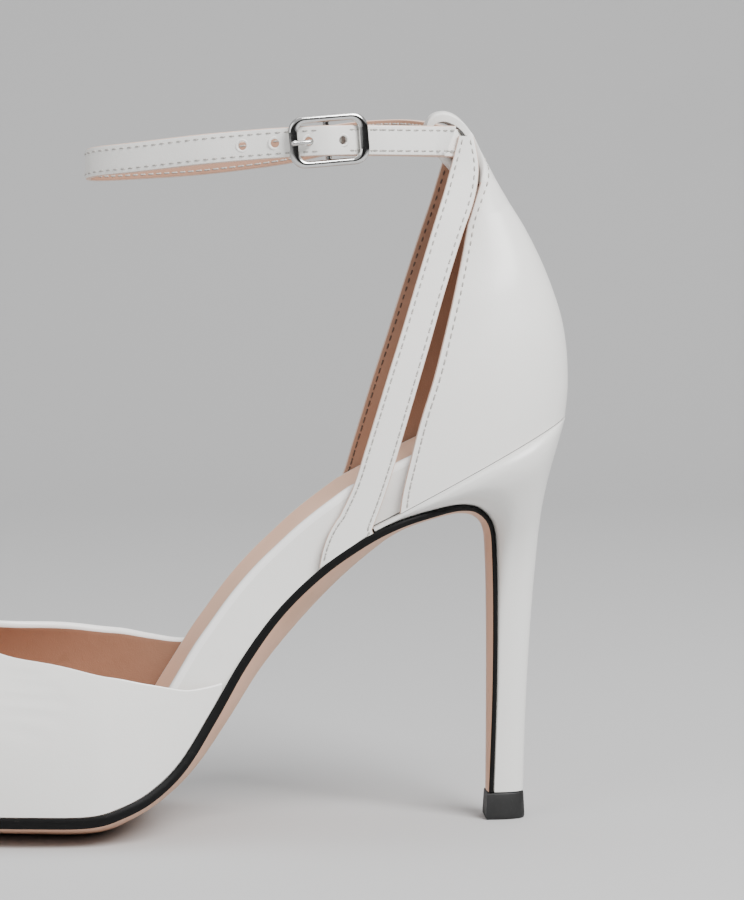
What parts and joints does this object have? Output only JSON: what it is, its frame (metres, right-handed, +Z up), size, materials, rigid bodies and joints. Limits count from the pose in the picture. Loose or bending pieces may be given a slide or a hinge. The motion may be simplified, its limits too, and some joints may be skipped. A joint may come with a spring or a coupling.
{
  "type": "ankle strap pump",
  "caption": "Pointed-toe ankle strap pump for the left foot, with an open waist, a closed counter, two side straps and a slim stiletto heel",
  "frame": {"origin": "centre of the top piece's floor face, on the floor", "axes": "+X towards the toe, +Y towards the outer (lateral) side of the left foot, +Z up"},
  "size_m": [0.2413, 0.0745, 0.1848],
  "materials": {
    "outsole": "smooth tan sole with a black painted edge",
    "insole": "wrapped in off-white leather, with a blush sock",
    "heel": "covered in smooth off-white leather",
    "top_piece": "matte",
    "vamp": "smooth off-white leather, tan lining",
    "counter": "smooth off-white leather, tan lining",
    "side_strap_lateral": "smooth off-white leather, tan lining",
    "side_strap_medial": "smooth off-white leather, tan lining",
    "ankle_strap": "smooth off-white leather, tan lining",
    "buckle_frame": "polished",
    "buckle_prong": "polished"
  },
  "bodies": {
    "root": {"outsole": "outsole", "insole": "insole", "heel": "heel", "top_piece": "top_piece", "vamp": "vamp", "counter": "counter", "side_strap_lateral": "side_strap_lateral", "side_strap_medial": "side_strap_medial", "ankle_strap": "ankle_strap", "buckle_frame": "buckle_frame", "buckle_prong": "buckle_prong"}
  },
  "joints": []
}
